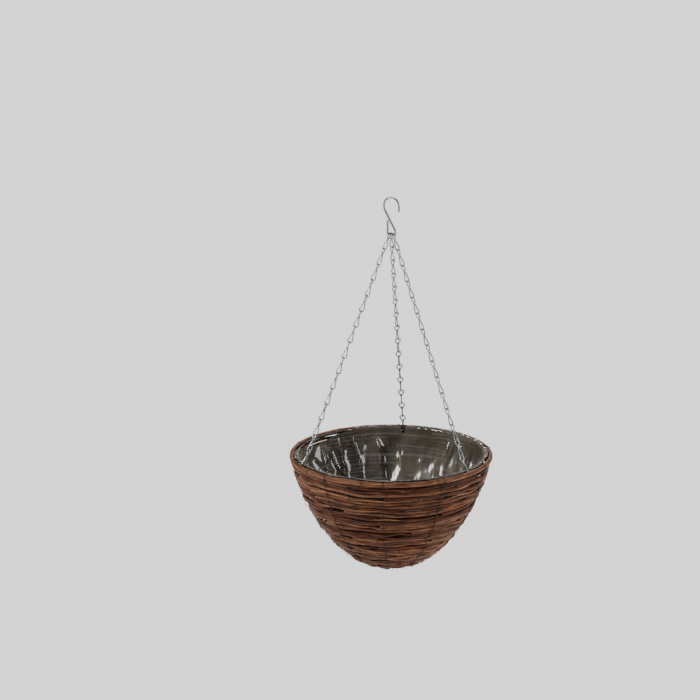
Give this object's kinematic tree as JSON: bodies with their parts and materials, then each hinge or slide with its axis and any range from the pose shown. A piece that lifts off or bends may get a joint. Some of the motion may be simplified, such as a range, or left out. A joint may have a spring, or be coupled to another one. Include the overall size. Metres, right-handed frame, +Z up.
{
  "type": "hanging basket",
  "caption": "Round wire-bound wicker bowl with a film liner, hung by three jack chains from one bent-wire hook.",
  "frame": {"origin": "the point inside the top of the hook's crook that bears on the bracket, with the basket hanging plumb below it", "axes": "+Z up along the plumb line; the back chain hangs towards +Y and the other two towards -Y"},
  "size_m": [0.35, 0.351, 0.654],
  "materials": {
    "galvanised_wire": "galvanised, satin",
    "zinc_chain": "zinc plated, bright",
    "dark_hoop_wire": "dark lacquer, satin",
    "binding_wire": "dull annealed wire",
    "brown_rods": "unpeeled willow rods, stained brown, satin",
    "liner_film": "dark polyethylene film, creased, glossy"
  },
  "bodies": {
    "hook": {"suspension_hook": "galvanised_wire"},
    "chain_left": {"chain_left": "zinc_chain"},
    "chain_right": {"chain_right": "zinc_chain"},
    "chain_back": {"chain_back": "zinc_chain"},
    "basket": {"base_bands": "binding_wire", "base_coil": "brown_rods", "base_hoop": "dark_hoop_wire", "binding_wires": "binding_wire", "hoop_ties": "binding_wire", "liner": "liner_film", "rim_hoop": "dark_hoop_wire", "rim_rod": "brown_rods", "rod_course_01": "brown_rods", "rod_course_02": "brown_rods", "rod_course_03": "brown_rods", "rod_course_04": "brown_rods", "rod_course_05": "brown_rods", "rod_course_06": "brown_rods", "rod_course_07": "brown_rods", "rod_course_08": "brown_rods", "rod_course_09": "brown_rods", "rod_course_10": "brown_rods", "rod_course_11": "brown_rods", "rod_course_12": "brown_rods", "rod_course_13": "brown_rods", "rod_course_14": "brown_rods", "rod_course_15": "brown_rods", "rod_course_16": "brown_rods", "rod_course_17": "brown_rods", "rod_course_18": "brown_rods", "rod_course_19": "brown_rods", "rod_course_20": "brown_rods", "rod_course_21": "brown_rods", "rod_course_22": "brown_rods", "rod_course_23": "brown_rods", "rod_course_24": "brown_rods", "rod_course_25": "brown_rods", "rod_course_26": "brown_rods", "rod_course_27": "brown_rods", "rod_course_28": "brown_rods", "rod_course_29": "brown_rods", "rod_course_30": "brown_rods", "rod_course_31": "brown_rods", "top_link_back": "zinc_chain", "top_link_left": "zinc_chain", "top_link_right": "zinc_chain"}
  },
  "joints": [
    {"name": "basket_swing", "type": "hinge", "parent": "hook", "child": "basket", "pos_m": [0, 0, -0.06381], "axis": [0.866, -0.5, 0], "range_deg": [-40, 40]},
    {"name": "chain_swivel_left", "type": "hinge", "parent": "basket", "child": "chain_left", "pos_m": [-0.01178, -0.0018, -0.08672], "axis": [-0.3467, -0.1475, -0.9263], "range_deg": [-20, 20]},
    {"name": "chain_swivel_right", "type": "hinge", "parent": "basket", "child": "chain_right", "pos_m": [0.01047, -0.00756, -0.08672], "axis": [0.2939, -0.2312, -0.9275], "range_deg": [-20, 20]},
    {"name": "chain_swivel_back", "type": "hinge", "parent": "basket", "child": "chain_back", "pos_m": [0.00086, 0.00963, -0.08673], "axis": [0.0542, 0.3771, -0.9246], "range_deg": [-20, 20]}
  ]
}
